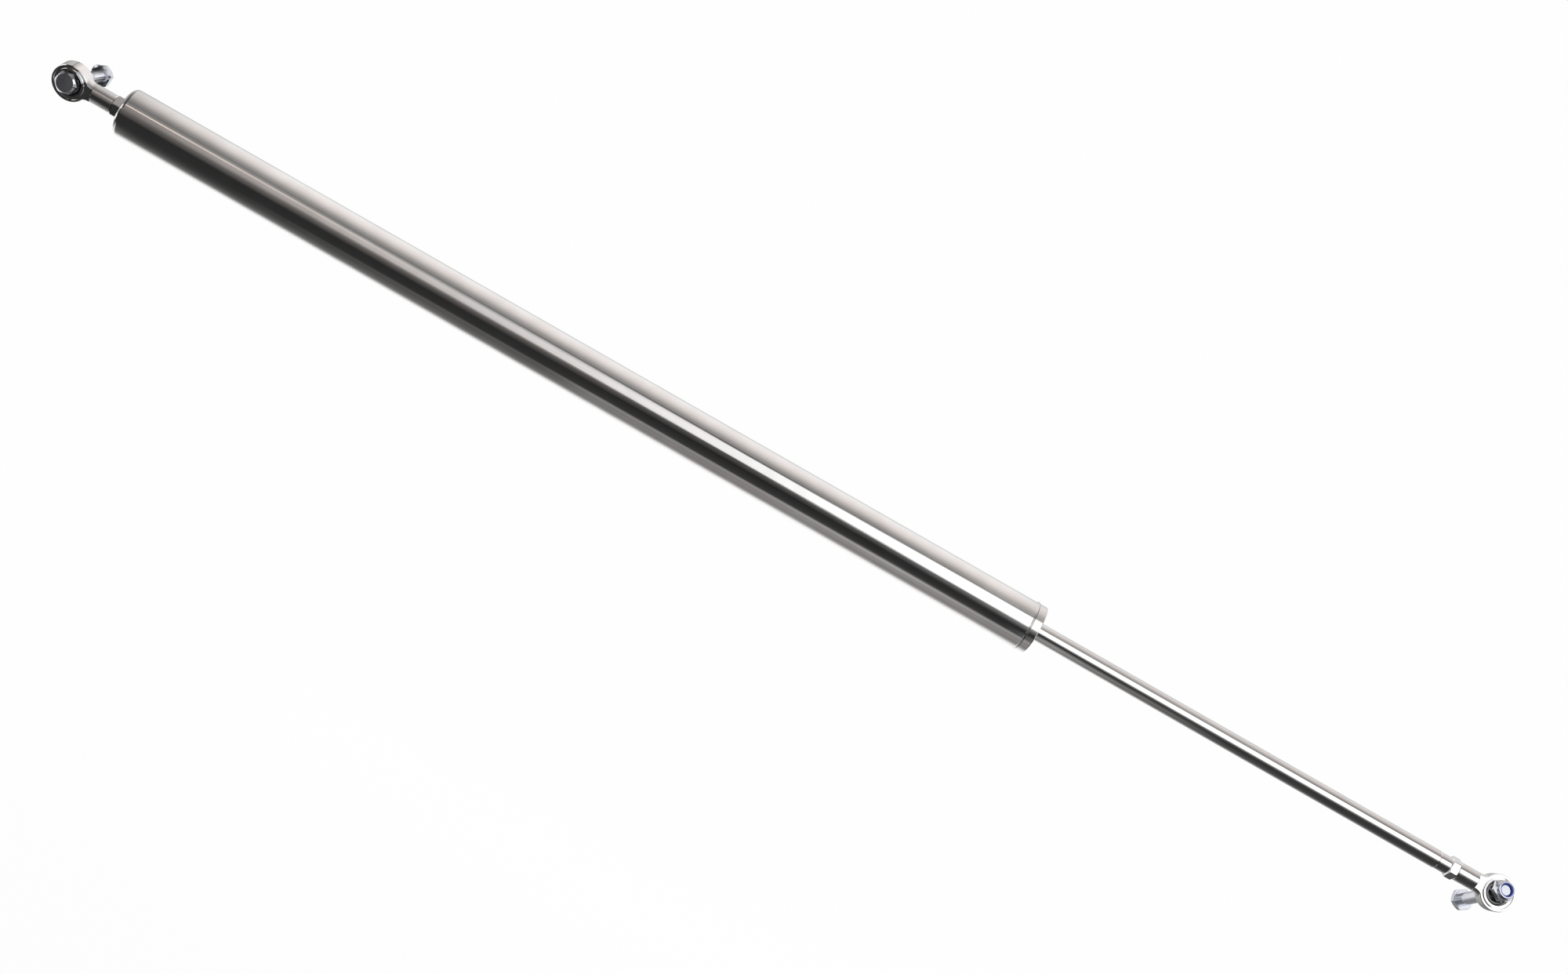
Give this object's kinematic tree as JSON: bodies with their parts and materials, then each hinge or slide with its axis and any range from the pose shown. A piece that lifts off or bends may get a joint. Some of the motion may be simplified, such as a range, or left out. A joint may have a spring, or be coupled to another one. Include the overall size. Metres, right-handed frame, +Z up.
{
  "type": "gas strut stay",
  "caption": "Stainless gas strut stay: a sealed gas tube and a sliding piston rod with a spherical rod end at each end, ready to bolt between a frame and a lid or hatch.",
  "frame": {"origin": "centre of the tube-end ball, on the strut's axis", "axes": "+X along the strut from the tube-end ball to the rod-end ball, +Y along the tube-end eye's axis away from the bolt head, +Z up"},
  "size_m": [1.0481, 0.0622, 0.0542],
  "materials": {
    "tube_steel": "polished",
    "rod_steel": "mirror polished",
    "eye_steel": "polished",
    "ball_steel": "ground",
    "fastener_steel": "bright",
    "plug_steel": "machined",
    "nylon": "semi-matt",
    "seal_rubber": "matt",
    "bush_bronze": "machined",
    "piston_alloy": "machined",
    "ring_ptfe": "matt"
  },
  "bodies": {
    "tube": {"tube": "tube_steel", "end_plug": "plug_steel", "plug_o_ring": "seal_rubber", "gland": "tube_steel", "gland_o_ring": "seal_rubber", "guide_bush": "bush_bronze", "rod_seal": "seal_rubber", "seal_backing_washer": "fastener_steel", "wiper": "seal_rubber", "rear_jam_nut": "fastener_steel", "tube_eye": "eye_steel", "tube_race": "eye_steel"},
    "piston_ring": {"piston_ring": "ring_ptfe"},
    "rod": {"rod": "rod_steel", "piston": "piston_alloy", "piston_washer": "fastener_steel", "piston_nut": "fastener_steel", "front_jam_nut": "fastener_steel", "rod_eye": "eye_steel", "rod_race": "eye_steel"},
    "tube_ball": {"tube_ball": "ball_steel"},
    "tube_bolt": {"tube_bolt": "fastener_steel"},
    "tube_lock_nut": {"tube_lock_nut": "fastener_steel", "tube_nut_insert": "nylon"},
    "rod_ball": {"rod_ball": "ball_steel"},
    "rod_lock_nut": {"rod_lock_nut": "fastener_steel", "rod_nut_insert": "nylon"},
    "rod_bolt": {"rod_bolt": "fastener_steel"}
  },
  "joints": [
    {"name": "rod_slide", "type": "slide", "parent": "tube", "child": "piston_ring", "axis": [1, 0, 0], "range_m": [-0.29, 0], "stiffness_N_per_m": 300, "springref_m": 1},
    {"name": "rod_turn", "type": "hinge", "parent": "piston_ring", "child": "rod", "pos_m": [0.64, 0, 0], "axis": [1, 0, 0], "continuous": true},
    {"name": "tube_ball_tilt", "type": "hinge", "parent": "tube", "child": "tube_ball", "pos_m": [0, 0, 0], "axis": [0.9962, 0, 0.0872], "range_deg": [0, 26.5]},
    {"name": "tube_bolt_turn", "type": "hinge", "parent": "tube_ball", "child": "tube_bolt", "pos_m": [0, 0, 0], "axis": [0.02, 0.9733, -0.2286], "continuous": true},
    {"name": "tube_nut_run", "type": "slide", "parent": "tube_bolt", "child": "tube_lock_nut", "axis": [0.02, 0.9733, -0.2286], "range_m": [-0.015, 0.012]},
    {"name": "rod_ball_tilt", "type": "hinge", "parent": "rod", "child": "rod_ball", "pos_m": [1.02415, 0, 0], "axis": [0.9962, -0.0548, -0.0677], "range_deg": [0, 26.5]},
    {"name": "rod_nut_turn", "type": "hinge", "parent": "rod_ball", "child": "rod_lock_nut", "pos_m": [1.02415, 0, 0], "axis": [-0.02, 0.6125, -0.7902], "continuous": true},
    {"name": "rod_bolt_draw", "type": "slide", "parent": "rod_lock_nut", "child": "rod_bolt", "axis": [-0.02, 0.6125, -0.7902], "range_m": [0, 0.075]}
  ]
}
